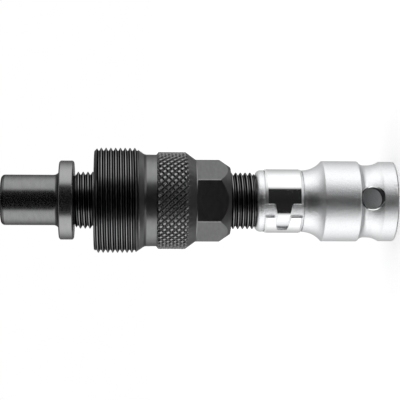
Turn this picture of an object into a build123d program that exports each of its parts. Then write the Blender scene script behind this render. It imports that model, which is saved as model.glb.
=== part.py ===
from build123d import *
import math
import os

# Bicycle crank puller with its square-drive adapter, standing on the drive end.
# Millimetres. +Z runs along the tool's axis, from the drive end to the pusher foot, and the
# origin is the centre of the drive end face. Bearings are turns about +Z counted from -Y,
# the side that a flat of the wrench hex faces.

# Drive adapter, from the drive end upwards
adapter_length = 29.2
barrel_radius = 8.48
end_flange_radius = 8.4
end_flange_height = 3.1
end_flange_edge = 0.4
waist_radius = 7.74
waist_low = 5.4
waist_high = 6.0
waist_top = 7.75
flare_low = 15.35
nose_radius = 6.5
seat_radius = 6.1
seat_low = 19.48
seat_high = 27.5
collar_radius = 6.48
nose_edge = 1.1

# Square drive socket and its detent hole
drive_square = 9.55
drive_corner = 0.6
drive_depth = 11.5
drive_lead_in = 0.7
detent_hole_radius = 2.2
detent_hole_height = 5.4
adapter_bearing = 5.3

# Hexagon shank of the spindle and the socket that takes it
shank_flats = 7.95
shank_low = 17.5
shank_socket_flats = 8.05
shank_socket_depth = 12.0
shank_socket_lead_in = 0.5

# Spring band round the nose, with the retaining pin behind it
band_inner_radius = 6.12
band_thickness = 0.58
band_edge = 0.3
band_low = 19.63
band_high = 27.35
shoulder_bearing = -5.0
tongue_bearing = -38.5
tongue_root = 3.6
tongue_tip = 2.2
notch_shoulder_bearing = -31.0
notch_bearing = -64.5
notch_mouth = 3.8
notch_floor = 2.4
pin_radius = 1.04
pin_hole_radius = 1.08
pin_inner = 4.03
pin_outer = 6.0
pin_chamfer = 0.35
pin_bearing = adapter_bearing + 120

# Spindle
shank_shoulder = 29.25
rod_radius = 5.95
rod_top = 66.55
rod_top_chamfer = 0.7
relief_radius = 5.15
journal_radius = 3.25
journal_top = 76.3
journal_groove_radius = 2.75

# Extractor body, from the wrench hex upwards
body_low = 34.5
hex_flats = 15.0
hex_turned_radius = 8.63
hex_face_radius = 7.06
hex_chamfer_top = 36.8
hex_top = 41.58
hex_run_out = 0.35
body_collar_top = 41.78
grip_low = 44.15
grip_radius = 10.2
grip_top = 49.5
grip_top_chamfer = 0.45
neck_radius = 9.62
neck_top = 52.38
crank_thread_radius = 11.0
crank_thread_low = 54.38
crank_thread_chamfer = 0.7
body_top = 62.94
body_bore_radius = 6.0

# Pusher foot
foot_low = 67.15
flange_radius = 8.27
flange_top = 70.2
flange_low_chamfer = 0.42
flange_top_chamfer = 0.3
pilot_radius = 5.27
pilot_fillet = 1.2
pilot_edge = 0.84
foot_top = 82.3
foot_bore_radius = 3.3
foot_bore_top = 76.9
foot_groove_radius = 3.76

# Snap ring in the foot
snap_wire = 0.8
snap_ring_radius = 3.3
snap_ring_height = 72.3
snap_groove_width = 0.9
snap_ring_arc = 305.0

# Working lengths
cut_margin = 1.0
round_steps = 2
flare_steps = 4
face_bearing = -90.0


def turned(*outline):
    """Solid of revolution about Z from (radius, height) points."""
    return revolve(Plane.XZ * make_face(Polyline(*outline, close=True)), Axis.Z)


def cove(rim, floor, steps=round_steps):
    """Hollow arc from a rim to a smaller radius, where it runs out along the tool's axis."""
    rim_radius, rim_height = rim
    floor_radius, floor_height = floor
    drop = rim_radius - floor_radius
    run = floor_height - rim_height
    arc_radius = (drop**2 + run**2) / (2 * drop)
    reach = math.asin(run / arc_radius)
    turns = [reach * (1 - step / steps) for step in range(steps + 1)]
    return [
        (floor_radius + arc_radius * (1 - math.cos(turn)), floor_height - arc_radius * math.sin(turn))
        for turn in turns
    ]


def round_over(radius, height, edge, steps=round_steps):
    """Rounded upper edge of a cylinder, from its side to its end face."""
    turns = [math.pi / 2 * step / steps for step in range(steps + 1)]
    return [
        (radius - edge * (1 - math.cos(turn)), height - edge * (1 - math.sin(turn)))
        for turn in turns
    ]


def bored(radius, low, high):
    """Plain round cutter along Z."""
    return Pos(0, 0, low) * Cylinder(radius, high - low, align=(Align.CENTER, Align.CENTER, Align.MIN))


def countersink(mouth_radius, height, upward=True):
    """45 degree cone that opens a mouth at the given height, upward or downward."""
    depth = mouth_radius / 2
    cone = turned(
        (0, height),
        (mouth_radius, height),
        (mouth_radius - depth, height - depth),
        (0, height - depth),
    )
    if upward:
        return cone
    return mirror(cone, Plane.XY.offset(height))


def hexagon_bar(flats, low, high, bearing):
    """Hexagonal bar along Z, with a flat that faces the bearing."""
    section = RegularPolygon(flats / 2, 6, major_radius=False, rotation=bearing + face_bearing + 30)
    return Pos(0, 0, low) * extrude(section, high - low)


def outward(bearing, distance, height):
    """Plane square to the radius at a bearing: its x runs up the tool and its z points outwards."""
    direction = Vector(0, -1, 0).rotate(Axis.Z, bearing)
    origin = direction * distance + Vector(0, 0, height)
    return Plane(origin, x_dir=(0, 0, 1), z_dir=direction)


def make_adapter_body():
    """Turned adapter with a square drive socket below and a hexagon socket above."""
    flange_rim = (end_flange_radius, end_flange_height)
    barrel_rim = (barrel_radius, waist_top)
    body = turned(
        (0, 0),
        (end_flange_radius - end_flange_edge, 0),
        (end_flange_radius, end_flange_edge),
        *cove(flange_rim, (waist_radius, waist_low)),
        *reversed(cove(barrel_rim, (waist_radius, waist_high))),
        *cove((barrel_radius, flare_low), (nose_radius, seat_low), flare_steps),
        (seat_radius, seat_low),
        (seat_radius, seat_high),
        (collar_radius, seat_high),
        *round_over(collar_radius, adapter_length, nose_edge),
        (0, adapter_length),
    )

    drive = Rot(0, 0, adapter_bearing) * RectangleRounded(drive_square, drive_square, drive_corner)
    body -= extrude(drive, drive_depth)
    body -= countersink(drive_square / 2 + drive_lead_in, 0, upward=False)

    socket_low = adapter_length - shank_socket_depth
    body -= hexagon_bar(shank_socket_flats, socket_low, adapter_length + cut_margin, adapter_bearing)
    body -= countersink(shank_socket_flats / 2 + shank_socket_lead_in, adapter_length)

    pin_plane = outward(pin_bearing, 0, (band_low + band_high) / 2)
    body -= pin_plane * extrude(Circle(pin_hole_radius), seat_radius + cut_margin)

    detent_plane = outward(adapter_bearing, 0, detent_hole_height)
    body -= detent_plane * extrude(Circle(detent_hole_radius), barrel_radius + cut_margin)
    return body


def band_arc(first_bearing, last_bearing):
    """Stretch of the spring band between two bearings, with its outer edges broken."""
    outer_radius = band_inner_radius + band_thickness
    section = Polyline(
        (band_inner_radius, band_low),
        (outer_radius - band_edge, band_low),
        (outer_radius, band_low + band_edge),
        (outer_radius, band_high - band_edge),
        (outer_radius - band_edge, band_high),
        (band_inner_radius, band_high),
        close=True,
    )
    stretch = revolve(Plane.XZ * make_face(section), Axis.Z, last_bearing - first_bearing)
    return Rot(0, 0, first_bearing + face_bearing) * stretch


def band_wedge(wide_bearing, narrow_bearing, wide, narrow):
    """Tapered prism that stands on the band from its wide end to its narrow end."""
    middle = (wide_bearing + narrow_bearing) / 2
    half_turn = Vector(1, 0, 0).rotate(Axis.Z, (wide_bearing - narrow_bearing) / 2)
    half_run = half_turn.Y * (band_inner_radius + band_thickness)
    plane = outward(middle, band_inner_radius - band_thickness, (band_low + band_high) / 2)
    taper = (wide - narrow) / (4 * half_run)
    end_run = half_run + cut_margin
    outer = wide / 2 + taper * cut_margin
    inner = narrow / 2 - taper * cut_margin
    outline = Polyline((-outer, end_run), (outer, end_run), (inner, -end_run), (-inner, -end_run), close=True)
    return plane * extrude(make_face(outline), 4 * band_thickness)


def make_spring_ring():
    """Open sheet-spring band whose tongue points into a notch in its other end."""
    band = band_arc(shoulder_bearing, 360 + notch_bearing)
    tongue = band_arc(tongue_bearing, shoulder_bearing)
    tongue &= band_wedge(shoulder_bearing, tongue_bearing, tongue_root, tongue_tip)
    lugs = band_arc(notch_bearing, notch_shoulder_bearing)
    lugs -= band_wedge(notch_shoulder_bearing, notch_bearing, notch_mouth, notch_floor)
    return band + tongue + lugs


def make_retaining_pin():
    """Pin that the band presses inwards, with its coned end just clear of the shank's flat."""
    middle = (band_low + band_high) / 2
    pin = outward(pin_bearing, pin_inner, middle) * extrude(Circle(pin_radius), pin_outer - pin_inner)
    inner_end = pin.faces().sort_by_distance((0, 0, middle))[0]
    return chamfer(inner_end.edges(), pin_chamfer)


def make_spindle():
    """Rod with a hexagon shank below and the foot's journal above."""
    shank = hexagon_bar(shank_flats, shank_low, shank_shoulder + cut_margin, adapter_bearing)
    groove_low = snap_ring_height - snap_groove_width / 2
    groove_high = snap_ring_height + snap_groove_width / 2
    thrust_face = foot_low - (body_bore_radius - rod_radius)
    rod = turned(
        (0, shank_shoulder),
        (rod_radius, shank_shoulder),
        (rod_radius, rod_top - rod_top_chamfer),
        (relief_radius, rod_top),
        (relief_radius, thrust_face),
        (journal_radius, thrust_face),
        (journal_radius, groove_low),
        (journal_groove_radius, groove_low),
        (journal_groove_radius, groove_high),
        (journal_radius, groove_high),
        (journal_radius, journal_top),
        (0, journal_top),
    )
    return rod + shank


def hex_flat_cutter():
    """Milling cut of one wrench flat, with the cutter's run-out where it meets the collar."""
    depth = hex_flats / 2
    reach = hex_turned_radius + cut_margin
    profile = FilletPolyline(
        (depth, body_low - cut_margin),
        (reach, body_low - cut_margin),
        (reach, hex_top),
        (depth, hex_top),
        radius=[0, 0, 0, hex_run_out],
        close=True,
    )
    return extrude(Plane.XZ * make_face(profile), reach, both=True)


def make_extractor_body():
    """Turned body with milled wrench flats and a bore for the spindle."""
    body = turned(
        (0, body_low),
        (hex_face_radius, body_low),
        (hex_turned_radius, hex_chamfer_top),
        (hex_turned_radius, body_collar_top),
        (grip_radius, grip_low),
        (grip_radius, grip_top),
        (neck_radius, grip_top + grip_top_chamfer),
        (neck_radius, neck_top),
        (crank_thread_radius, crank_thread_low),
        (crank_thread_radius, body_top - crank_thread_chamfer),
        (crank_thread_radius - crank_thread_chamfer, body_top),
        (0, body_top),
    )
    flat = hex_flat_cutter()
    for side in range(6):
        body -= Rot(0, 0, face_bearing + 60 * side) * flat
    return body - bored(body_bore_radius, body_low, body_top)


def make_foot():
    """Pusher foot: flange, pilot nose and a blind bore with the snap ring's groove."""
    foot = turned(
        (0, foot_low),
        (flange_radius - flange_low_chamfer, foot_low),
        (flange_radius, foot_low + flange_low_chamfer),
        (flange_radius, flange_top - flange_top_chamfer),
        (flange_radius - flange_top_chamfer, flange_top),
        *cove((pilot_radius + pilot_fillet, flange_top), (pilot_radius, flange_top + pilot_fillet)),
        *round_over(pilot_radius, foot_top, pilot_edge),
        (0, foot_top),
    )
    groove_half = snap_groove_width / 2
    foot -= bored(foot_bore_radius, foot_low, foot_bore_top)
    foot -= bored(foot_groove_radius, snap_ring_height - groove_half, snap_ring_height + groove_half)
    return foot


def make_foot_snap_ring():
    """Open ring of square wire, half in the foot's groove and half in the journal's."""
    wire = Pos(snap_ring_radius, snap_ring_height) * Rectangle(snap_wire, snap_wire)
    return revolve(Plane.XZ * wire, Axis.Z, snap_ring_arc)


nodes = {
    "adapter_body": make_adapter_body,
    "spring_ring": make_spring_ring,
    "retaining_pin": make_retaining_pin,
    "spindle": make_spindle,
    "extractor_body": make_extractor_body,
    "foot": make_foot,
    "foot_snap_ring": make_foot_snap_ring,
}

os.makedirs("parts", exist_ok=True)
for name, make in nodes.items():
    export_step(make(), f"parts/{name}.step")
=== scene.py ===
import math

import bmesh
import bpy
from mathutils import Matrix, Vector


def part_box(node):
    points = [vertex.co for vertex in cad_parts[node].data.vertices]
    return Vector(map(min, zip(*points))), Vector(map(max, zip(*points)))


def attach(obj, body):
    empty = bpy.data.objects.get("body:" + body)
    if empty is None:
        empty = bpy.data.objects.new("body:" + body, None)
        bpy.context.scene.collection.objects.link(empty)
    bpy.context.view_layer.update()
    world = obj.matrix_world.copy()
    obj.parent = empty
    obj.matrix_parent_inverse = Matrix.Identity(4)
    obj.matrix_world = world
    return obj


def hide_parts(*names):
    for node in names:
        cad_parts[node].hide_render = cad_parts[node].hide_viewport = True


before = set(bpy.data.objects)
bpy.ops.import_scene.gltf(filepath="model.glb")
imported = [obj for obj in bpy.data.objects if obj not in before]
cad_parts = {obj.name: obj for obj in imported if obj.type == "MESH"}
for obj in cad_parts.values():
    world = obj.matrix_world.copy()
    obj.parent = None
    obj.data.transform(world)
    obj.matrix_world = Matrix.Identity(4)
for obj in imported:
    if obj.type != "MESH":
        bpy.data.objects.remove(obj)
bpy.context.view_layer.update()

# Sizes are millimetres and bearings are degrees about +Z, counted from -Y. A mesh is scaled to
# metres when it becomes a piece.
MM = 0.001


def span(node):
    """Outer radius, lowest and highest point of a turned CAD node."""
    low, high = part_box(node)
    return high.x / MM, low.z / MM, high.z / MM


# Places taken from the frame
barrel_radius, adapter_low, adapter_top = span("adapter_body")
band_radius, band_low, band_high = span("spring_ring")
rod_radius, shank_low, journal_top = span("spindle")
crank_thread_radius, body_low, body_top = span("extractor_body")
flange_radius, foot_low, foot_top = span("foot")

# Drive adapter
end_flange_radius = 8.4
end_flange_height = 3.05
end_flange_edge = 0.4
waist_radius = 7.62
waist_low = 5.6
waist_high = 6.25
waist_top = 7.75
flare_low = 15.2
nose_radius = 6.5
seat_radius = 6.1
seat_low = 19.38
seat_high = 27.5
collar_radius = 6.48
nose_edge = 1.1
rim_edge = 0.12
groove_edge = 0.5
groove_edge_steps = 3
drive_square = 9.55
drive_corner = 0.6
drive_corner_step = 15
drive_depth = 11.5
drive_lead_in = 0.7
detent_radius = 2.3
detent_height = 5.33
detent_edge = 0.26
detent_edge_least = 0.3
detent_edge_rise = 0.77
adapter_bearing = 5.3
shank_socket_flats = 8.05
shank_socket_depth = 12.0
shank_socket_lead_in = 0.5
pin_hole_radius = 1.08
pin_bearing = adapter_bearing + 120
adapter_columns = 288
hole_columns = 96
pin_hole_columns = 32
cut_margin = 1.0
hole_margin = 0.45
hole_wall_margin = 0.045

# Spring band
band_thickness = 0.58
band_inside = band_radius - band_thickness
band_middle = (band_low + band_high) / 2
band_slope = 0.42
band_slope_drop = 0.15
band_edge = 0.15
band_corner = 0.35
band_shear = 1.6
shoulder_bearing = -5.0
tongue_bearing = -38.5
tongue_root = (1.8, 1.8)
tongue_tip = (0.95, 1.1)
notch_shoulder_bearing = -31.0
notch_bearing = -64.5
notch_mouth = (1.6, 1.77)
notch_floor = (0.82, 1.15)
slit_rise = 0.12
slit_middle = band_middle + slit_rise
tongue_steps = 14
turn_steps = 150

# Spindle
shank_flats = 7.95
shank_end_chamfer = 0.5
shank_corner_break = 0.08
shank_shoulder = 29.25
rod_low_chamfer = 0.5
rod_top = 66.85
rod_top_chamfer = 0.4
relief_radius = 5.15
thrust_face = 67.1
journal_radius = 3.25
journal_chamfer = 0.5
journal_groove_radius = 2.75
spindle_crest_height = 0.02
spindle_columns = 180

# Extractor body
hex_flats = 15.0
hex_turned_radius = 8.63
hex_corner_break = 0.03
hex_face_radius = 7.06
hex_chamfer_top = 36.8
hex_top = 41.58
hex_run_out = 0.06
hex_run_out_steps = 6
body_collar_top = 41.78
grip_low = 43.93
grip_radius = 10.2
grip_top = 49.5
grip_top_chamfer = 0.45
neck_radius = 9.62
neck_top = 52.38
neck_fillet = 1.2
crank_thread_low = 54.38
crank_thread_chamfer = 0.7
crank_crest_height = 0.25
body_bore_radius = 6.0
body_bore_chamfer = 0.5
body_columns = 360

# Diamond knurl: cells of the mesh lie along the grooves, eight to a groove each way round
knurl_cells = 8
knurl_rows = 30
knurl_low_rows = 4
knurl_top_rows = 2
knurl_depth = 0.46
knurl_crest = 0.5
knurl_cross_depth = 0.62

# Metric threads of one millimetre pitch
thread_pitch = 1.0
thread_depth = 0.6
thread_crest_flat = 0.14
thread_root_flat = 0.16
thread_flank_steps = 4
spare_turns = 2

# Pusher foot
flange_top = 70.2
flange_low_chamfer = 0.28
flange_top_chamfer = 0.3
flange_edge = 0.08
pilot_radius = 5.27
pilot_fillet = 1.2
pilot_edge = 0.84
foot_bore_radius = 3.3
foot_bore_top = 76.9
foot_groove_radius = 3.76
snap_ring_height = 72.3
snap_groove_width = 0.9
snap_groove_low = snap_ring_height - snap_groove_width / 2
snap_groove_high = snap_ring_height + snap_groove_width / 2
foot_columns = 240

# Wear and painted light that the meshes carry to their materials: above 0 rubbed or cut bright, partly a
# painted highlight on crests; below 0 sunk, darkened with painted shade on the black and chrome parts
rubbed_crest_and_highlight = 1.0
bright_cut = 1.0
flange_rub = 0.8
# Below 0 the black and chrome parts are darkened with painted shade, more the lower the value
root_painted_shade = -0.4
corner_painted_shade = -0.6
recess = -1.0
deep_gap_shade = -2.0

# Meshing
arc_step = math.radians(10)
cove_steps = 12
sharp_angle = math.radians(28)
band_sharp_angle = math.radians(8)
support_reach = 0.04
long_stretch = 0.5
weld_distance = 0.0005
cut_weld_distance = 0.002
round_segments = 4
square_edge = math.radians(45)
least_outward = 0.1


def arc_between(centre, first, last):
    """Points on an arc about a centre, from one radius vector to another, both ends included."""
    sweep = first.angle(last)
    steps = max(2, math.ceil(sweep / arc_step))
    points = []
    for step in range(steps + 1):
        share = step / steps
        points.append(
            centre
            + (first * math.sin((1 - share) * sweep) + last * math.sin(share * sweep)) / math.sin(sweep)
        )
    return points


def rounded(*corners):
    """Profile through (radius, height) corners; a third number rounds that corner."""
    points = []
    for index, (radius, height, *edge) in enumerate(corners):
        corner = Vector((radius, height))
        if not edge:
            points.append(corner)
            continue
        before = (Vector(corners[index - 1][:2]) - corner).normalized()
        after = (Vector(corners[index + 1][:2]) - corner).normalized()
        half = before.angle(after) / 2
        centre = corner + (before + after).normalized() * edge[0] / math.sin(half)
        reach = edge[0] / math.tan(half)
        points += arc_between(centre, corner + before * reach - centre, corner + after * reach - centre)
    return points


def cove(rim, floor):
    """Hollow arc from a rim to a smaller radius, where it runs out along the tool's axis."""
    drop = rim[0] - floor[0]
    run = floor[1] - rim[1]
    arc_radius = (drop**2 + run**2) / (2 * drop)
    reach = math.asin(run / arc_radius)
    points = []
    for step in range(cove_steps + 1):
        turn = reach * (1 - step / cove_steps)
        radius = floor[0] + arc_radius * (1 - math.cos(turn))
        points.append((radius, floor[1] - arc_radius * math.sin(turn)))
    return points


def along(profile, height):
    """Radius of a rising profile at a height."""
    for (low_radius, low), (high_radius, high) in zip(profile, profile[1:]):
        if low <= height <= high and high > low:
            return low_radius + (high_radius - low_radius) * (height - low) / (high - low)
    return profile[-1][0] if height > profile[-1][1] else profile[0][0]


def supported(profile):
    """Profile with a point close to each end of a long stretch, which keeps it straight under smooth
    shading."""
    points = [Vector(profile[0])]
    for near, far in zip(profile, profile[1:]):
        run = Vector(far) - Vector(near)
        if run.length > long_stretch:
            inset = run.normalized() * support_reach
            points += [Vector(near) + inset, Vector(far) - inset]
        points.append(Vector(far))
    return points


class Skin:
    """Points and faces of one turned piece, built ring by ring from its lower end."""

    def __init__(self, columns, start=0.0):
        self.bearings = [math.radians(start) + 2 * math.pi * column / columns for column in range(columns)]
        self.points = []
        self.wear_and_painted_light = []
        self.faces = []

    def point(self, radius, bearing, height, wear_and_painted_light=0.0):
        self.points.append((radius * math.sin(bearing), -radius * math.cos(bearing), height))
        self.wear_and_painted_light.append(wear_and_painted_light)
        return len(self.points) - 1

    def ring(self, radius, height):
        """Ring of points whose radius and height may be functions of the bearing."""
        if radius == 0:
            return [self.point(0, 0, height)]
        ring = []
        for bearing in self.bearings:
            here = radius(bearing) if callable(radius) else radius
            level = height(bearing) if callable(height) else height
            ring.append(self.point(here, bearing, level))
        return ring

    def join(self, lower, upper):
        """Faces between two rings, or a fan between a ring and a point on the axis."""
        count = len(self.bearings)
        for column in range(count):
            after = (column + 1) % count
            corners = (
                lower[column % len(lower)],
                lower[after % len(lower)],
                upper[after % len(upper)],
                upper[column % len(upper)],
            )
            self.faces.append(tuple(dict.fromkeys(corners)))

    def shade(self, wear_and_painted_light, low, high, inner, outer):
        """Sets the wear and painted light mark of the plain points between two heights and two radii."""
        for index, (x, y, height) in enumerate(self.points):
            if low < height < high and inner < math.hypot(x, y) < outer and self.wear_and_painted_light[index] == 0:
                self.wear_and_painted_light[index] = wear_and_painted_light

    def chain(self, rings):
        """Faces between each ring and the next."""
        for lower, upper in zip(rings, rings[1:]):
            self.join(lower, upper)

    def turn(self, profile):
        """Rings along a profile, joined; gives back the first and the last."""
        rings = [self.ring(radius, height) for radius, height in supported(profile)]
        self.chain(rings)
        return rings[0], rings[-1]


def thread_steps():
    """Rows of one pitch as (share of the pitch from the crest, share of the depth)."""
    crest = thread_crest_flat / thread_pitch / 2
    root = (1 - thread_root_flat / thread_pitch) / 2
    flank = [step / thread_flank_steps for step in range(thread_flank_steps + 1)]
    falling = [(crest + (root - crest) * share, share) for share in flank]
    rising = [(1 - place, depth) for place, depth in reversed(falling)]
    return falling + rising


def thread_wear_and_painted_light(depth):
    """Crest rubbed towards bare steel, partly a painted highlight, painted shade on the root and darker
    painted shade on the flanks.
    """
    if depth == 0:
        return rubbed_crest_and_highlight
    return root_painted_shade if depth == 1 else recess


def add_thread(skin, lower, upper, limit, crest_radius, crest_height):
    """Right-hand thread between two rings. The limit is the profile of the blank it is cut in."""
    low = skin.points[lower[0]][2]
    high = skin.points[upper[0]][2]
    steps = thread_steps()
    columns = len(skin.bearings)
    first_turn = math.floor((low - crest_height) / thread_pitch) - spare_turns
    turns = math.ceil((high - low) / thread_pitch) + 2 * spare_turns
    known = {}

    def corner(row, column):
        if column == columns:
            row, column = row + len(steps), 0
        if (row, column) in known:
            return known[row, column]
        turn, step = divmod(row, len(steps))
        place, depth = steps[step]
        bearing = skin.bearings[column]
        height = crest_height + thread_pitch * (first_turn + turn + place + bearing / (2 * math.pi))
        if height <= low:
            found = lower[column]
        elif height >= high:
            found = upper[column]
        else:
            cut_radius = crest_radius - depth * thread_depth
            blank_radius = along(limit, height)
            # Crests lightened towards bare steel, partly wear and partly a painted highlight; roots and
            # flanks darkened with painted shade
            wear_and_painted_light = thread_wear_and_painted_light(depth) if cut_radius <= blank_radius else 0.0
            found = skin.point(min(cut_radius, blank_radius), bearing, height, wear_and_painted_light)
        known[row, column] = found
        return found

    for row in range(turns * len(steps)):
        for column in range(columns):
            corners = (
                corner(row, column),
                corner(row, column + 1),
                corner(row + 1, column + 1),
                corner(row + 1, column),
            )
            face = tuple(dict.fromkeys(corners))
            if len(face) > 2:
                skin.faces.append(face)


def smooth(mesh, angle=sharp_angle):
    """Shades a mesh smooth across its shallow edges."""
    mesh.shade_smooth()
    mesh.set_sharp_from_angle(angle=angle)


def smooth_piece(name, mesh, angle=sharp_angle):
    """Object from a mesh, smooth across shallow edges."""
    smooth(mesh, angle)
    piece = bpy.data.objects.new(name, mesh)
    bpy.context.scene.collection.objects.link(piece)
    return piece


def weld(mesh, distance):
    """Joins points that lie closer together than a distance."""
    build = bmesh.new()
    build.from_mesh(mesh)
    bmesh.ops.remove_doubles(build, verts=build.verts, dist=distance * MM)
    bmesh.ops.dissolve_degenerate(build, edges=build.edges, dist=distance * MM)
    build.to_mesh(mesh)
    build.free()


def piece_from(skin, name):
    """Object from a skin, with coincident points welded."""
    mesh = bpy.data.meshes.new(name)
    mesh.from_pydata([Vector(point) * MM for point in skin.points], [], skin.faces)
    wear_and_painted_light = mesh.attributes.new("wear_and_painted_light", "FLOAT", "POINT")
    wear_and_painted_light.data.foreach_set("value", skin.wear_and_painted_light)
    weld(mesh, weld_distance)
    return smooth_piece(name, mesh)


# Extractor body


def hex_radius(bearing, flats, turned_radius):
    """Distance from the axis to a hexagon's side, held within the turned corner."""
    offset = (bearing + math.pi / 6) % (math.pi / 3) - math.pi / 6
    return min(flats / 2 / math.cos(offset), turned_radius)


def add_wrench_hex(skin, mouth):
    """Chamfered face, six flats and their run-out, up to the collar's ring."""
    corner_radius = hex_turned_radius - hex_corner_break
    slope = (hex_chamfer_top - body_low) / (hex_turned_radius - hex_face_radius)

    def flat_radius(bearing):
        return hex_radius(bearing, hex_flats, corner_radius)

    def chamfer_line(bearing):
        return body_low + (flat_radius(bearing) - hex_face_radius) * slope

    rings = [mouth, skin.ring(hex_face_radius, body_low), skin.ring(flat_radius, chamfer_line)]
    rings.append(skin.ring(flat_radius, hex_chamfer_top))
    for step in range(hex_run_out_steps + 1):
        turn = math.pi / 2 * step / hex_run_out_steps
        flats = hex_flats + 2 * hex_run_out * (1 - math.cos(turn))
        level = hex_top - hex_run_out * (1 - math.sin(turn))
        turned = corner_radius if step < hex_run_out_steps else hex_turned_radius
        rings.append(skin.ring(lambda bearing: hex_radius(bearing, flats, turned), level))
    collar = skin.ring(hex_turned_radius, hex_top)
    skin.chain(rings + [collar])
    return collar


def add_knurl(skin, lower, blank):
    """Diamond knurl whose grooves run out over the blank's two chamfered ends."""
    cell = (grip_top - grip_low) / knurl_rows
    columns = len(skin.bearings)

    def share(steps):
        place = steps % knurl_cells / knurl_cells
        return 1 - 2 * abs(place - 0.5)

    rows = range(-knurl_low_rows, knurl_rows + knurl_top_rows + 1)
    rings = []
    for row in rows:
        level = grip_low + row * cell
        blank_radius = along(blank, level)
        ring = []
        for column, bearing in enumerate(skin.bearings):
            crest = min(share(column + row), knurl_crest) / knurl_crest
            cross = min(share(column - row), knurl_crest) / knurl_crest
            sunk = max(1 - crest, knurl_cross_depth * (1 - cross))
            cut_radius = grip_radius - knurl_depth * sunk
            # Knurl tips lightened towards bare steel, partly wear and partly a painted highlight
            wear_and_painted_light = min(crest, cross) if cut_radius <= blank_radius else 0.0
            ring.append(skin.point(min(cut_radius, blank_radius), bearing, level, wear_and_painted_light))
        rings.append(ring)
    skin.join(lower, rings[0])
    for row, near, far in zip(rows, rings, rings[1:]):
        for column in range(columns):
            after = (column + 1) % columns
            if (column + row + 1) % (knurl_cells // 2) == 0:
                skin.faces.append((near[column], near[after], far[column]))
                skin.faces.append((near[after], far[after], far[column]))
            else:
                skin.faces.append((near[column], near[after], far[after]))
                skin.faces.append((near[column], far[after], far[column]))
    return rings[-1]


def make_extractor_body():
    """Body with its wrench hex, diamond knurl and crank thread."""
    skin = Skin(body_columns)
    mouth_radius = body_bore_radius + body_bore_chamfer
    mouth = skin.ring(mouth_radius, body_low)
    collar = add_wrench_hex(skin, mouth)
    collar_edge = skin.ring(hex_turned_radius, body_collar_top)
    skin.join(collar, collar_edge)

    grip_blank = [
        (hex_turned_radius, body_collar_top),
        (grip_radius, grip_low),
        (grip_radius, grip_top),
        (neck_radius, grip_top + grip_top_chamfer),
    ]
    knurl_end = add_knurl(skin, collar_edge, grip_blank)
    run_out = rounded(
        (neck_radius, grip_top),
        (neck_radius, neck_top, neck_fillet),
        (crank_thread_radius, crank_thread_low),
    )
    neck, thread_start = skin.turn([(neck_radius, grip_top + grip_top_chamfer), *run_out[1:-1]])
    skin.join(knurl_end, neck)

    thread_blank = [
        *run_out[-2:],
        (crank_thread_radius, body_top - crank_thread_chamfer),
        (crank_thread_radius - crank_thread_chamfer, body_top),
    ]
    thread_end = skin.ring(crank_thread_radius - crank_thread_chamfer, body_top)
    add_thread(skin, thread_start, thread_end, thread_blank, crank_thread_radius, crank_crest_height)

    bore_top, bore_end = skin.turn(
        [
            (mouth_radius, body_top),
            (body_bore_radius, body_top - body_bore_chamfer),
            (body_bore_radius, body_low + body_bore_chamfer),
        ]
    )
    skin.join(thread_end, bore_top)
    skin.join(bore_end, mouth)
    # Painted shade on the thread's top chamfer and on the neck's run-out
    skin.shade(corner_painted_shade, body_top - crank_thread_chamfer, body_top, neck_radius, crank_thread_radius)
    skin.shade(corner_painted_shade, run_out[1].y, run_out[-2].y, neck_radius, crank_thread_radius)
    return piece_from(skin, "extractor_body_dressed")


# Spindle


def make_spindle():
    """Threaded rod with its hexagon shank, relief and grooved journal."""
    skin = Skin(spindle_columns, adapter_bearing)
    turned = shank_flats / 2 / math.cos(math.pi / 6) - shank_corner_break

    def shank_radius(bearing):
        return hex_radius(bearing - math.radians(adapter_bearing), shank_flats, turned)

    def shank_end(bearing):
        return shank_radius(bearing) - shank_end_chamfer

    root_radius = rod_radius - thread_depth
    thread_start = skin.ring(rod_radius - rod_low_chamfer, shank_shoulder)
    skin.chain(
        [
            skin.ring(0, shank_low),
            skin.ring(shank_end, shank_low),
            skin.ring(shank_radius, shank_low + shank_end_chamfer),
            skin.ring(shank_radius, shank_shoulder),
            thread_start,
        ]
    )
    thread_blank = [
        (min(rod_radius - rod_low_chamfer, root_radius), shank_shoulder),
        (rod_radius, shank_shoulder + rod_low_chamfer),
        (rod_radius, rod_top - rod_top_chamfer),
        (root_radius, rod_top),
    ]
    thread_end, _ = skin.turn(
        [
            (relief_radius, rod_top),
            (relief_radius, thrust_face),
            (journal_radius, thrust_face),
            (journal_radius, snap_groove_low),
            (journal_groove_radius, snap_groove_low),
            (journal_groove_radius, snap_groove_high),
            (journal_radius, snap_groove_high),
            (journal_radius, journal_top - journal_chamfer),
            (journal_radius - journal_chamfer, journal_top),
            (0, journal_top),
        ]
    )
    add_thread(skin, thread_start, thread_end, thread_blank, rod_radius, spindle_crest_height)
    relief_low = rod_top - rod_top_chamfer
    relief_high = thrust_face + flange_edge
    # Painted shade on the relief between the thread and the thrust face
    skin.shade(recess, relief_low, relief_high, journal_radius + flange_edge, rod_radius)
    return piece_from(skin, "spindle_dressed")


# Pusher foot


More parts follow.
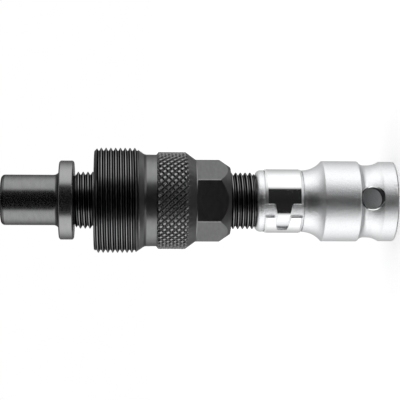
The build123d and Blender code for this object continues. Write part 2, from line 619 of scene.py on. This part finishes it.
def make_foot():
    """Foot with broken edges, turned from the roof of its bore outwards."""
    skin = Skin(foot_columns)
    skin.turn(
        [
            (0, foot_bore_top),
            (foot_bore_radius, foot_bore_top),
            (foot_bore_radius, snap_groove_high),
            (foot_groove_radius, snap_groove_high),
            (foot_groove_radius, snap_groove_low),
            (foot_bore_radius, snap_groove_low),
            (foot_bore_radius, foot_low),
            *rounded(
                (flange_radius - flange_low_chamfer, foot_low),
                (flange_radius, foot_low + flange_low_chamfer, flange_edge),
                (flange_radius, flange_top - flange_top_chamfer, flange_edge),
                (flange_radius - flange_top_chamfer, flange_top, flange_edge),
                (pilot_radius, flange_top, pilot_fillet),
                (pilot_radius, foot_top, pilot_edge),
                (0, foot_top),
            ),
        ]
    )
    rim = flange_radius - flange_edge
    skin.shade(flange_rub, foot_low, flange_top, rim, flange_radius + flange_edge)
    # Painted shade in the corner from the flange's top to the pilot, and on the pilot's end edge
    top_edge = flange_top - flange_top_chamfer
    skin.shade(corner_painted_shade, top_edge, flange_top + pilot_fillet, pilot_radius + flange_edge, rim)
    skin.shade(corner_painted_shade, foot_top - pilot_edge, foot_top - flange_edge, pilot_radius / 2, flange_radius)
    return piece_from(skin, "foot_dressed")


# Drive adapter


def adapter_profile():
    """Outline of the adapter from the drive end to the nose."""
    rim = (end_flange_radius, end_flange_height)
    barrel_rim = (barrel_radius, waist_top)
    floor = cove(rim, (waist_radius, waist_low))
    wall = cove(barrel_rim, (waist_radius, waist_high))
    flare = cove((barrel_radius, flare_low), (nose_radius, seat_low))
    return rounded(
        (0, adapter_low),
        (end_flange_radius, adapter_low, end_flange_edge),
        (*floor[0], rim_edge),
        *floor[1:],
        *reversed(wall[groove_edge_steps:]),
        (*wall[0], groove_edge),
        (*flare[0], rim_edge),
        *flare[1:-1],
        (*flare[-1], rim_edge),
        (seat_radius, seat_low),
        (seat_radius, seat_high),
        (collar_radius, seat_high, rim_edge),
        (collar_radius, adapter_top, nose_edge),
        (0, adapter_top),
    )


def outward(bearing, height):
    """Frame whose x runs up the tool, y round it and z outwards along a bearing."""
    turn = math.radians(bearing)
    out = Vector((math.sin(turn), -math.cos(turn), 0))
    up = Vector((0, 0, 1))
    place = Matrix((up, out.cross(up), out)).transposed().to_4x4()
    place.translation = up * height
    return place


def prism(outlines, place):
    """Closed cutter through outlines of equal length, each a list of points, set in a frame."""
    build = bmesh.new()
    loops = [[build.verts.new((place @ Vector(point)) * MM) for point in outline] for outline in outlines]
    for near, far in zip(loops, loops[1:]):
        for index in range(len(near)):
            after = (index + 1) % len(near)
            build.faces.new((near[index], near[after], far[after], far[index]))
    build.faces.new(reversed(loops[0]))
    build.faces.new(loops[-1])
    mesh = bpy.data.meshes.new("cutter")
    build.to_mesh(mesh)
    build.free()
    cutter = bpy.data.objects.new("cutter", mesh)
    bpy.context.scene.collection.objects.link(cutter)
    return cutter


def circle(radius, height, count=hole_columns):
    """Points of a circle at one height."""
    turns = [2 * math.pi * index / count for index in range(count)]
    return [(radius * math.cos(turn), radius * math.sin(turn), height) for turn in turns]


def rounded_square(side, corner, height):
    """Points of a square with round corners."""
    points = []
    for quarter in range(4):
        for turn in range(0, 91, drive_corner_step):
            angle = math.radians(quarter * 90 + turn)
            middle = math.radians(quarter * 90 + 45)
            reach = (side / 2 - corner) * math.sqrt(2)
            points.append(
                (
                    reach * math.cos(middle) + corner * math.cos(angle),
                    reach * math.sin(middle) + corner * math.sin(angle),
                    height,
                )
            )
    return points


def hexagon(flats, height):
    """Points of a hexagon with a flat across its own +x."""
    reach = flats / 2 / math.cos(math.pi / 6)
    turns = [math.radians(60 * side + 30) for side in range(6)]
    return [(reach * math.cos(turn), reach * math.sin(turn), height) for turn in turns]


def detent_cutter(profile):
    """Round hole from the drive socket outwards, with an edge broken most at its two sides."""
    outside = barrel_radius + 2 * cut_margin

    def edge(turn):
        return detent_edge * (detent_edge_least + (1 - detent_edge_least) * abs(math.sin(turn)))

    def surface(radius, turn):
        along_axis = radius * math.cos(turn)
        across = radius * math.sin(turn)
        return math.sqrt(along(profile, detent_height + along_axis) ** 2 - across**2)

    loops = [[], [], [], []]
    for column in range(hole_columns):
        turn = 2 * math.pi * column / hole_columns
        wide = detent_radius + 2 * edge(turn)
        rise = edge(turn) * detent_edge_rise
        low_edge = surface(detent_radius, turn) - rise
        high_edge = surface(detent_radius + edge(turn), turn) + rise
        stops = ((detent_radius, 0.0), (detent_radius, low_edge), (wide, high_edge), (wide, outside))
        for loop, (radius, level) in zip(loops, stops):
            loop.append((radius * math.cos(turn), radius * math.sin(turn), level))
    return prism(loops, outward(adapter_bearing, detent_height))


def cut(piece, cutter):
    """Takes a cutter away from a piece and removes the cutter."""
    modifier = piece.modifiers.new("cut", "BOOLEAN")
    modifier.operation = "DIFFERENCE"
    modifier.solver = "EXACT"
    modifier.object = cutter
    bpy.context.view_layer.update()
    graph = bpy.context.evaluated_depsgraph_get()
    mesh = bpy.data.meshes.new_from_object(piece.evaluated_get(graph))
    weld(mesh, cut_weld_distance)
    piece.modifiers.remove(modifier)
    piece.data = mesh
    bpy.data.objects.remove(cutter)


def mark_recesses(mesh, profile):
    """Marks the insides of the sockets as recesses, duller and faintly darkened with painted shade, the
    detent hole's wall and the gaps at the band's ends as deep ones, darkened with strong painted shade,
    and the hole's broken edge as a bright cut."""
    mesh.attributes.remove(mesh.attributes["wear_and_painted_light"])
    wear_and_painted_light = mesh.attributes.new("wear_and_painted_light", "FLOAT", "FACE")
    to_hole = outward(adapter_bearing, detent_height).inverted()
    for face in mesh.polygons:
        centre = face.center / MM
        radius = centre.xy.length
        in_hole = to_hole @ centre
        from_axis = in_hole.xy.length if in_hole.z > 0 else barrel_radius
        below = along(profile, centre.z) - radius
        beside_band = seat_low <= centre.z < band_low or band_high < centre.z <= seat_high
        # Painted shade: faint in the sockets, strong in the gaps beside the band and on the detent hole's
        # wall
        value = recess if below > hole_margin else 0.0
        if beside_band and radius < collar_radius:
            value = deep_gap_shade
        elif detent_radius < from_axis < detent_radius + detent_edge and below > weld_distance:
            value = bright_cut
        elif detent_radius - hole_wall_margin < from_axis <= detent_radius:
            value = deep_gap_shade
        wear_and_painted_light.data[face.index].value = value


def make_adapter():
    """Adapter turned in one piece, then cut for the drive, the shank, the pin and the detent."""
    skin = Skin(adapter_columns, adapter_bearing)
    profile = adapter_profile()
    skin.turn(profile)
    piece = piece_from(skin, "adapter_dressed")
    across_flat = Matrix.Rotation(math.radians(adapter_bearing), 4, "Z")

    lead = drive_square / 2 + drive_lead_in
    lead_in = [circle(lead + cut_margin, -cut_margin), circle(lead / 2, lead / 2)]
    cut(piece, prism(lead_in, Matrix()))
    square = [rounded_square(drive_square, drive_corner, level) for level in (-cut_margin, drive_depth)]
    cut(piece, prism(square, across_flat))

    lead = shank_socket_flats / 2 + shank_socket_lead_in
    above = adapter_top + cut_margin
    lead_in = [circle(lead / 2, adapter_top - lead / 2), circle(lead + cut_margin, above)]
    cut(piece, prism(lead_in, Matrix()))
    levels = (adapter_top - shank_socket_depth, above)
    cut(piece, prism([hexagon(shank_socket_flats, level) for level in levels], across_flat))

    pin_place = outward(pin_bearing, band_middle)
    pin_hole = [circle(pin_hole_radius, level, pin_hole_columns) for level in (0, barrel_radius)]
    cut(piece, prism(pin_hole, pin_place))
    outer = [point for point in profile if point.y <= waist_top + drive_lead_in]
    cut(piece, detent_cutter(outer[1:] + [Vector((barrel_radius, flare_low))]))
    smooth(piece.data)
    mark_recesses(piece.data, profile)
    return piece


# Spring band


def band_stations():
    """Bearings from the tongue's tip round to the lugs' ends, each with the slit's two sides there."""
    turn_end = 360 + notch_bearing
    lug_end = 360 + notch_shoulder_bearing
    stretches = [
        ("tongue", tongue_bearing, shoulder_bearing, tongue_tip, tongue_root, tongue_steps),
        ("turn", shoulder_bearing, turn_end, tongue_root, notch_floor, turn_steps),
        ("lugs", turn_end, lug_end, notch_floor, notch_mouth, tongue_steps),
    ]
    stations = []
    for kind, first, last, first_reach, last_reach, steps in stretches:
        for step in range(steps):
            share = step / steps
            below, above = Vector(first_reach).lerp(Vector(last_reach), share)
            sides = (slit_middle - below, slit_middle + above)
            stations.append((kind, first + (last - first) * share, sides))
    stations.append(("end", lug_end, (slit_middle - notch_mouth[0], slit_middle + notch_mouth[1])))
    return stations


def band_strips(low_side, high_side):
    """Closed sections, as (radius, height) points, of the strips below, across and above the slit. The
    sheet leans in a little along its two long edges."""
    lean = band_radius - band_slope_drop
    return [
        [
            (band_inside, band_low),
            (lean, band_low),
            (band_radius, band_low + band_slope),
            (band_radius, low_side),
            (band_inside, low_side),
        ],
        [
            (band_inside, low_side),
            (band_radius, low_side),
            (band_radius, high_side),
            (band_inside, high_side),
        ],
        [
            (band_inside, high_side),
            (band_radius, high_side),
            (band_radius, band_high - band_slope),
            (lean, band_high),
            (band_inside, band_high),
        ],
    ]


def band_faces(stations):
    """Faces round the band's cells, as (bearing, radius, height) points. A face that two cells share
    lies inside the metal and drops out."""
    strips_there = {"tongue": (1,), "turn": (0, 1, 2), "lugs": (0, 2)}
    faces = {}

    def add_or_drop(face):
        key = frozenset(face)
        if key in faces:
            del faces[key]
        else:
            faces[key] = face

    for (kind, near, near_sides), (_, far, far_sides) in zip(stations, stations[1:]):
        for strip in strips_there[kind]:
            near_section = [(near, *point) for point in band_strips(*near_sides)[strip]]
            far_section = [(far, *point) for point in band_strips(*far_sides)[strip]]
            add_or_drop(near_section)
            add_or_drop(far_section)
            for side in range(len(near_section)):
                after = (side + 1) % len(near_section)
                near_side = [near_section[side], near_section[after]]
                add_or_drop(near_side + [far_section[after], far_section[side]])
    return faces.values()


def round_edges(build, edges, radius):
    """Rounds edges of a mesh under construction."""
    bmesh.ops.bevel(
        build,
        geom=edges,
        offset=radius * MM,
        segments=round_segments,
        profile=0.5,
        affect="EDGES",
        clamp_overlap=True,
    )


def mark_edges(mesh):
    """Marks the leaning strips along the band's two long edges as recesses, which are satin."""
    wear_and_painted_light = mesh.attributes.new("wear_and_painted_light", "FLOAT", "FACE")
    for face in mesh.polygons:
        height = face.center.z / MM
        near_edge = min(height - band_low, band_high - height) < band_slope
        faces_out = face.normal.xy.length > least_outward
        wear_and_painted_light.data[face.index].value = recess if near_edge and faces_out else 0.0


def make_spring_band():
    """Sheet-spring band with a tongue at one end, a notch at the other and rounded outer edges."""
    build = bmesh.new()
    known = {}

    def vert(point):
        if point not in known:
            bearing, radius, height = point
            turn = math.radians(bearing - band_shear * (band_radius - radius) / band_thickness)
            place = Vector((radius * math.sin(turn), -radius * math.cos(turn), height))
            known[point] = build.verts.new(place * MM)
        return known[point]

    stations = band_stations()
    for face in band_faces(stations):
        build.faces.new([vert(point) for point in face])
    bmesh.ops.recalc_face_normals(build, faces=build.faces)

    turning_points = {}
    for kind, bearing, sides in stations:
        turning_points.setdefault(kind, (bearing, sides))
    corners = []
    for bearing, sides in turning_points.values():
        for level in sides:
            ends = [vert((bearing, radius, level)) for radius in (band_inside, band_radius)]
            corners.append(build.edges.get(ends))
    round_edges(build, corners, band_corner)

    outside = (band_radius - weld_distance) * MM
    edges = []
    for edge in build.edges:
        on_outside = all(vertex.co.xy.length > outside for vertex in edge.verts)
        if on_outside and edge.calc_face_angle(0) > square_edge:
            edges.append(edge)
    round_edges(build, edges, band_edge)

    mesh = bpy.data.meshes.new("spring_band")
    build.to_mesh(mesh)
    build.free()
    mark_edges(mesh)
    return smooth_piece("spring_band", mesh, band_sharp_angle)


# Materials: noise scales are features to the millimetre and bump depths are millimetres

noise_low = 0.3
noise_high = 0.7
fine_detail = 4.0
middle_detail = 3.0
soft_detail = 2.0
around = (0.03, 0.03, 1.0)
streaks = (0.35, 0.35, 1.0)

lathe_scale = 9.0
lathe_depth = 0.001
mottle_scale = 1.6
mottle_gloss = 0.015
oxide_shades = (0.92, 1.08)
oxide_grain_scale = 14.0
oxide_grain_depth = 0.0015
# Rubbed crests and edges are drawn towards bare steel: partly wear, partly a painted highlight
bare_steel_and_highlight = (0.4, 0.4, 0.4)
bare_and_highlight_share = 0.7
bare_and_highlight_from = 0.5
# Painted shade: flanks, roots, corners and hollows of the black parts are darkened towards this colour
painted_shade_colour = (0.01, 0.01, 0.01)
painted_shade_share = 0.96
painted_shade_until = 0.2

chrome_colour = (0.9, 0.91, 0.92)
chrome_shades = (0.95, 1.05)
chrome_roughness = 0.29
chrome_recess_roughness = 0.6
chrome_cut_polish = 0.15
chrome_grain_scale = 4.4
chrome_grain_depth = 0.075
# Painted shade for the chrome's deep gaps, fainter in its sockets
gap_shade_colour = (0.2, 0.21, 0.21)
gap_shade_share = 0.95
gap_shade_until = -0.3

plate_shades = (0.97, 1.03)
plate_gloss = (0.7, 1.4)
blunt_roughness = 0.4
draw_scale = 5.0
draw_depth = 0.0002
cloud_scale = 0.4


def calculate(tree, operation, *given):
    """Result of a math node fed by sockets or numbers."""
    node = tree.nodes.new("ShaderNodeMath")
    node.operation = operation
    for socket, value in zip(node.inputs, given):
        if isinstance(value, float):
            socket.default_value = value
        else:
            tree.links.new(value, socket)
    return node.outputs[0]


class Recipe:
    """One metal: a Principled surface with helpers for its textures."""

    def __init__(self, name, colour):
        self.material = bpy.data.materials.new(name)
        self.material.use_nodes = True
        self.tree = self.material.node_tree
        self.surface = self.tree.nodes["Principled BSDF"]
        self.surface.inputs["Metallic"].default_value = 1.0
        self.colour = colour
        self.place = self.tree.nodes.new("ShaderNodeTexCoord").outputs["Object"]

    def link(self, source, target):
        self.tree.links.new(source, target)

    def noise(self, scale, stretch=(1, 1, 1), detail=middle_detail):
        """Noise of so many features to the millimetre, stretched along the axes."""
        mapping = self.tree.nodes.new("ShaderNodeMapping")
        mapping.inputs["Scale"].default_value = [scale / MM * share for share in stretch]
        texture = self.tree.nodes.new("ShaderNodeTexNoise")
        texture.inputs["Scale"].default_value = 1.0
        texture.inputs["Detail"].default_value = detail
        self.link(self.place, mapping.inputs["Vector"])
        self.link(mapping.outputs["Vector"], texture.inputs["Vector"])
        return texture.outputs["Fac"]

    def ranged(self, source, low, high, start=noise_low, end=noise_high):
        """A source's range, a noise's middle range unless stated, spread between two values."""
        node = self.tree.nodes.new("ShaderNodeMapRange")
        node.inputs["From Min"].default_value = start
        node.inputs["From Max"].default_value = end
        node.inputs["To Min"].default_value = low
        node.inputs["To Max"].default_value = high
        self.link(source, node.inputs["Value"])
        return node.outputs["Result"]

    def shades(self, source, dark, light):
        """Two strengths of the base colour, mixed by a texture."""
        node = self.tree.nodes.new("ShaderNodeMix")
        node.data_type = "RGBA"
        node.inputs["A"].default_value = (*[part * dark for part in self.colour], 1)
        node.inputs["B"].default_value = (*[part * light for part in self.colour], 1)
        self.link(self.ranged(source, 0, 1), node.inputs["Factor"])
        return node.outputs["Result"]

    def wear_and_painted_light(self):
        """What the mesh says of a place, as listed among the values above; 0 is plain."""
        node = self.tree.nodes.new("ShaderNodeAttribute")
        node.attribute_name = "wear_and_painted_light"
        return node.outputs["Fac"]

    def towards(self, colour, other, share):
        """A colour drawn towards another one by a share."""
        node = self.tree.nodes.new("ShaderNodeMix")
        node.data_type = "RGBA"
        node.inputs["B"].default_value = (*other, 1)
        self.link(share, node.inputs["Factor"])
        self.link(colour, node.inputs["A"])
        return node.outputs["Result"]

    def bump(self, height, depth, below=None, share=None):
        """Bump of so many millimetres, over another bump and by a share if they are given."""
        node = self.tree.nodes.new("ShaderNodeBump")
        node.inputs["Distance"].default_value = depth * MM
        self.link(height, node.inputs["Height"])
        if below is not None:
            self.link(below, node.inputs["Normal"])
        if share is not None:
            self.link(share, node.inputs["Strength"])
        return node.outputs["Normal"]

    def finish(self, colour, roughness, normal):
        self.link(colour, self.surface.inputs["Base Color"])
        self.link(roughness, self.surface.inputs["Roughness"])
        self.link(normal, self.surface.inputs["Normal"])
        return self.material


def black_oxide(name, colour, roughness, edge_tint):
    """Blackened turned steel: tool marks round the axis, a faint mottle, rubbed edges and crests lightened
    towards bare steel, partly wear and partly a painted highlight, and painted shade in corners, roots,
    flanks and hollows.
    """
    recipe = Recipe(name, colour)
    recipe.surface.inputs["Specular Tint"].default_value = (*[edge_tint] * 3, 1)
    lathe = recipe.noise(lathe_scale, around, fine_detail)
    mottle = recipe.noise(mottle_scale, streaks, fine_detail)
    grain = recipe.noise(oxide_grain_scale, detail=soft_detail)
    # Lighter towards bare steel on rubbed crests and edges: wear and painted highlight
    bare_and_highlight = recipe.ranged(recipe.wear_and_painted_light(), 0, bare_and_highlight_share, bare_and_highlight_from, rubbed_crest_and_highlight)
    # Painted shade in flanks, roots, corners and hollows
    painted_shade = recipe.ranged(recipe.wear_and_painted_light(), painted_shade_share, 0, recess, painted_shade_until)
    shade = recipe.towards(recipe.shades(mottle, *oxide_shades), bare_steel_and_highlight, bare_and_highlight)
    shade = recipe.towards(shade, painted_shade_colour, painted_shade)
    gloss = recipe.ranged(mottle, roughness - mottle_gloss, roughness + mottle_gloss)
    relief = recipe.bump(grain, oxide_grain_depth, recipe.bump(lathe, lathe_depth))
    return recipe.finish(shade, gloss, relief)


def satin_chrome():
    """Fine-blasted chrome with a close grain, painted shade in its gaps and sockets, and polished where an
    edge was cut.
    """
    recipe = Recipe("satin_chrome", chrome_colour)
    grain = recipe.noise(chrome_grain_scale, detail=fine_detail)
    dull = recipe.ranged(recipe.wear_and_painted_light(), chrome_recess_roughness, chrome_roughness, recess, 0.0)
    polish = recipe.ranged(recipe.wear_and_painted_light(), 0, chrome_cut_polish, 0.0, bright_cut)
    dull = calculate(recipe.tree, "SUBTRACT", dull, polish)
    # Painted shade in the gaps, fainter in the sockets
    dark = recipe.ranged(recipe.wear_and_painted_light(), gap_shade_share, 0, deep_gap_shade, gap_shade_until)
    shade = recipe.towards(recipe.shades(grain, *chrome_shades), gap_shade_colour, dark)
    blasted = recipe.ranged(recipe.wear_and_painted_light(), 1, 0, 0.0, bright_cut)
    return recipe.finish(shade, dull, recipe.bump(grain, chrome_grain_depth, share=blasted))


def bright_plate(name, colour, roughness):
    """Bright plated or ground steel with faint marks round the axis, satin in its recesses."""
    recipe = Recipe(name, colour)
    draw = recipe.noise(draw_scale, around)
    cloud = recipe.noise(cloud_scale, detail=soft_detail)
    gloss = recipe.ranged(draw, *[roughness * share for share in plate_gloss])
    blunt = recipe.ranged(recipe.wear_and_painted_light(), blunt_roughness, 0, recess, 0.0)
    gloss = calculate(recipe.tree, "MAXIMUM", gloss, blunt)
    return recipe.finish(recipe.shades(cloud, *plate_shades), gloss, recipe.bump(draw, draw_depth))


# Pieces on their bodies

body_black = black_oxide("body_black", (0.269, 0.271, 0.271), 0.3, 0.5)
spindle_black = black_oxide("spindle_black", (0.202, 0.204, 0.206), 0.3, 0.5)
foot_black = black_oxide("foot_black", (0.278, 0.28, 0.283), 0.24, 0.4)
chrome = satin_chrome()
band_plate = bright_plate("bright_band", (0.92, 0.925, 0.93), 0.07)
spring_wire = bright_plate("spring_wire", (0.35, 0.35, 0.36), 0.3)
pin_steel = bright_plate("pin_steel", (0.6, 0.6, 0.62), 0.25)

dressed = [
    (make_extractor_body(), "extractor", "extractor_body", "body_black", body_black),
    (make_spindle(), "screw", "spindle", "spindle_black", spindle_black),
    (make_foot(), "pusher_foot", "foot", "foot_black", foot_black),
    (make_adapter(), "adapter", "adapter_body", "satin_chrome", chrome),
    (make_spring_band(), "adapter", "spring_ring", "bright_band", band_plate),
]
for piece, body, node, slot, material in dressed:
    piece.data.materials.clear()
    piece.data.materials.append(material)
    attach(piece, body)
    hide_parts(node)

for node, material in (("foot_snap_ring", spring_wire), ("retaining_pin", pin_steel)):
    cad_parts[node].data.materials.clear()
    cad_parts[node].data.materials.append(material)

# Floor, light and camera, in metres
floor_half = 3.0
floor_shade = 0.95
floor_roughness = 0.9
floor_emission = 0.16
studio_radius = 1.2

# Light on the studio wall as a share of the brightest: by azimuth from the camera's side, and by
# elevation. Low down, the lights lean towards the camera's side by so many degrees, and the floor adds
# a glow of its own.
brightest_light = 1.4
side_lights = [
    (0, 0.01),
    (43, 0.014),
    (47, 0.43),
    (52, 0.75),
    (60, 0.84),
    (75, 0.87),
    (86, 0.88),
    (97, 0.85),
    (108, 0.75),
    (120, 0.6),
    (131, 0.48),
    (150, 0.36),
    (180, 0.32),
]
light_heights = [(-90, 0.02), (-54, 0.03), (-34, 1.0), (35, 1.0), (60, 0.3), (90, 0.2)]
card_lean = [(-90, 26), (-22, 26), (-12, 14), (-8.4, 0), (90, 0)]
floor_glow = [(-90, 0.06), (-50, 0.04), (-20, 0.0), (90, 0.0)]


def make_floor():
    """Plain pale floor under the drive end."""
    mesh = bpy.data.meshes.new("floor")
    corners = [(-1, -1), (1, -1), (1, 1), (-1, 1)]
    mesh.from_pydata([(x * floor_half, y * floor_half, 0) for x, y in corners], [], [(0, 1, 2, 3)])
    floor = bpy.data.objects.new("floor", mesh)
    bpy.context.scene.collection.objects.link(floor)
    material = bpy.data.materials.new("pale_floor")
    material.use_nodes = True
    surface = material.node_tree.nodes["Principled BSDF"]
    surface.inputs["Base Color"].default_value = (floor_shade, floor_shade, floor_shade, 1)
    surface.inputs["Roughness"].default_value = floor_roughness
    surface.inputs["Emission Color"].default_value = (1, 1, 1, 1)
    surface.inputs["Emission Strength"].default_value = floor_emission
    mesh.materials.append(material)
    floor.visible_glossy = False


def graded(tree, angle, stops):
    """Level at an angle, read off stops of (degrees, level)."""
    first = stops[0][0]
    last = stops[-1][0]
    place = tree.nodes.new("ShaderNodeMapRange")
    place.inputs["From Min"].default_value = math.radians(first)
    place.inputs["From Max"].default_value = math.radians(last)
    tree.links.new(angle, place.inputs["Value"])
    ramp = tree.nodes.new("ShaderNodeValToRGB")
    tree.links.new(place.outputs["Result"], ramp.inputs["Fac"])
    elements = ramp.color_ramp.elements
    while len(elements) < len(stops):
        elements.new(1.0)
    for element, (degrees, level) in zip(elements, stops):
        element.position = (degrees - first) / (last - first)
        element.color = (level, level, level, 1)
    return ramp.outputs["Color"]


def make_studio():
    """Wall of light and dark cards round the tool, seen only in its metal: two long soft lights to
    the sides, a dark card on the camera's side and a dimmer backdrop."""
    mesh = bpy.data.meshes.new("studio_wall")
    build = bmesh.new()
    bmesh.ops.create_uvsphere(build, u_segments=96, v_segments=48, radius=studio_radius)
    build.to_mesh(mesh)
    build.free()
    wall = bpy.data.objects.new("studio_wall", mesh)
    bpy.context.scene.collection.objects.link(wall)
    wall.visible_camera = False
    wall.visible_diffuse = False
    wall.visible_shadow = False

    material = bpy.data.materials.new("studio_light")
    material.use_nodes = True
    material.cycles.emission_sampling = "NONE"
    tree = material.node_tree
    tree.nodes.clear()
    place = tree.nodes.new("ShaderNodeTexCoord").outputs["Object"]
    split = tree.nodes.new("ShaderNodeSeparateXYZ")
    tree.links.new(place, split.inputs[0])
    forward = calculate(tree, "MULTIPLY", split.outputs["Y"], -1.0)
    turn = calculate(tree, "ABSOLUTE", calculate(tree, "ARCTAN2", split.outputs["X"], forward))
    rise = calculate(tree, "ARCSINE", calculate(tree, "DIVIDE", split.outputs["Z"], studio_radius))
    lean = graded(tree, rise, [(height, math.radians(lean)) for height, lean in card_lean])
    side = graded(tree, calculate(tree, "ADD", turn, lean), side_lights)
    height = graded(tree, rise, light_heights)
    wall_light = calculate(tree, "MULTIPLY", calculate(tree, "MULTIPLY", side, height), brightest_light)
    level = calculate(tree, "ADD", wall_light, graded(tree, rise, floor_glow))
    shine = tree.nodes.new("ShaderNodeEmission")
    tree.links.new(level, shine.inputs["Strength"])
    output = tree.nodes.new("ShaderNodeOutputMaterial")
    tree.links.new(shine.outputs[0], output.inputs["Surface"])
    mesh.materials.append(material)


def make_world():
    """White surroundings."""
    world = bpy.data.worlds.new("white_room")
    bpy.context.scene.world = world
    world.use_nodes = True
    background = world.node_tree.nodes["Background"]
    background.inputs["Color"].default_value = (1, 1, 1, 1)
    background.inputs["Strength"].default_value = 1.0


def make_camera():
    """Camera square to the tool's axis and turned so that the foot points left in the picture."""
    distance = 0.299
    height = 0.0563
    sideways = 0.00014
    pitch = math.radians(2.979)
    roll = math.radians(0.273)
    data = bpy.data.cameras.new("camera")
    data.sensor_width = 36.0
    data.lens = 128.1
    data.clip_start = 0.01
    data.clip_end = 50.0
    camera = bpy.data.objects.new("camera", data)
    bpy.context.scene.collection.objects.link(camera)
    right = Vector((0, -math.sin(pitch), -math.cos(pitch)))
    up = Vector((1, 0, 0))
    leaning_right = right * math.cos(roll) + up * math.sin(roll)
    leaning_up = up * math.cos(roll) - right * math.sin(roll)
    back = leaning_right.cross(leaning_up)
    place = Matrix((leaning_right, leaning_up, back)).transposed().to_4x4()
    place.translation = Vector((sideways, -distance, height))
    camera.matrix_world = place
    bpy.context.scene.camera = camera


make_floor()
make_studio()
make_world()
make_camera()
bpy.context.scene.view_settings.view_transform = "Standard"
